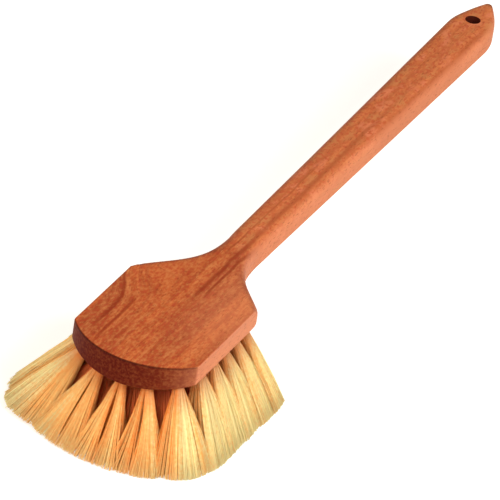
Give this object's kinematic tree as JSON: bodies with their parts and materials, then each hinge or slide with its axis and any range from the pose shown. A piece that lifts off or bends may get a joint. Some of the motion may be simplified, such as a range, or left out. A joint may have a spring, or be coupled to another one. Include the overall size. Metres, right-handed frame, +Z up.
{
  "type": "pot brush",
  "caption": "Long-handled scrubbing brush: a wooden head and handle in one board, bristle tufts fanned out below the head, and a hanging hole near the pointed tip.",
  "frame": {"origin": "on the ground plane at the bristle tips, under the middle of the brush's whole length, on its centre line", "axes": "+Y along the handle towards its tip, +Z up from the bristle tips through the head, +X to the right seen from above with the handle pointing away"},
  "size_m": [0.1358, 0.5298, 0.0605],
  "materials": {
    "wood": "sanded and lightly oiled red-brown hardwood, grain along the handle",
    "bristle": "undyed cream plant fibre, matt, packed in tufts and trimmed level",
    "staple_wire": "plain drawn steel wire"
  },
  "bodies": {
    "root": {"block_and_handle": "wood", "tuft_row1_1": "bristle", "tuft_row1_2": "bristle", "tuft_row1_3": "bristle", "tuft_row1_4": "bristle", "tuft_row1_5": "bristle", "tuft_row2_1": "bristle", "tuft_row2_2": "bristle", "tuft_row2_3": "bristle", "tuft_row2_4": "bristle", "tuft_row2_5": "bristle", "tuft_row3_1": "bristle", "tuft_row3_2": "bristle", "tuft_row3_3": "bristle", "tuft_row3_4": "bristle", "tuft_row3_5": "bristle", "tuft_row4_1": "bristle", "tuft_row4_2": "bristle", "tuft_row4_3": "bristle", "tuft_row4_4": "bristle", "tuft_row4_5": "bristle", "tuft_row5_1": "bristle", "tuft_row5_2": "bristle", "tuft_row5_3": "bristle", "tuft_row5_4": "bristle", "tuft_row5_5": "bristle", "tuft_row6_1": "bristle", "tuft_row6_2": "bristle", "tuft_row6_3": "bristle", "tuft_row6_4": "bristle", "staple_row1_1": "staple_wire", "staple_row1_2": "staple_wire", "staple_row1_3": "staple_wire", "staple_row1_4": "staple_wire", "staple_row1_5": "staple_wire", "staple_row2_1": "staple_wire", "staple_row2_2": "staple_wire", "staple_row2_3": "staple_wire", "staple_row2_4": "staple_wire", "staple_row2_5": "staple_wire", "staple_row3_1": "staple_wire", "staple_row3_2": "staple_wire", "staple_row3_3": "staple_wire", "staple_row3_4": "staple_wire", "staple_row3_5": "staple_wire", "staple_row4_1": "staple_wire", "staple_row4_2": "staple_wire", "staple_row4_3": "staple_wire", "staple_row4_4": "staple_wire", "staple_row4_5": "staple_wire", "staple_row5_1": "staple_wire", "staple_row5_2": "staple_wire", "staple_row5_3": "staple_wire", "staple_row5_4": "staple_wire", "staple_row5_5": "staple_wire", "staple_row6_1": "staple_wire", "staple_row6_2": "staple_wire", "staple_row6_3": "staple_wire", "staple_row6_4": "staple_wire"}
  },
  "joints": []
}
